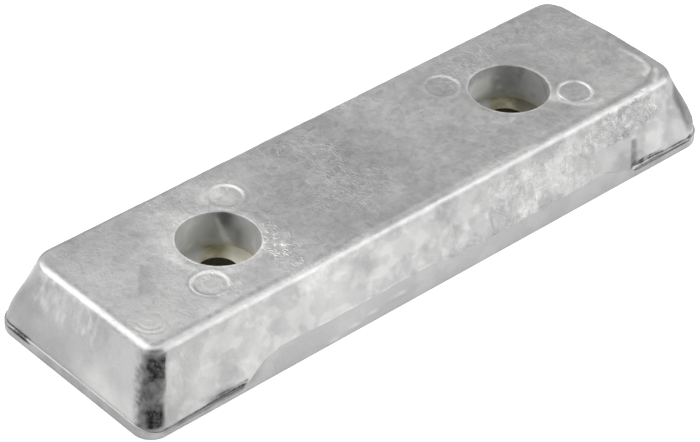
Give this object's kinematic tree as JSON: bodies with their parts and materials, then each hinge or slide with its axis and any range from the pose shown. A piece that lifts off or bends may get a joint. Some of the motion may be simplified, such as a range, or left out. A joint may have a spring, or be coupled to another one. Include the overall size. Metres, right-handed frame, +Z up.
{
  "type": "aluminium anode bar",
  "caption": "Cast aluminium bolt-on anode bar with drafted sides, a parting lip and counterbored bolt holes over a cast-in steel strap.",
  "frame": {"origin": "centre of the flat base, on the surface that the bar lies on", "axes": "+X along the bar, -Y towards the long face with the trimmed gate, +Z up from the base to the face with the counterbores"},
  "size_m": [0.271, 0.0834, 0.0295],
  "materials": {
    "cast_aluminium": "as cast, satin with cloudy flow marks",
    "zinc_plated_steel": "yellow-passivated zinc plate, dull"
  },
  "bodies": {
    "root": {"anode_body": "cast_aluminium", "insert_strap": "zinc_plated_steel"}
  },
  "joints": []
}
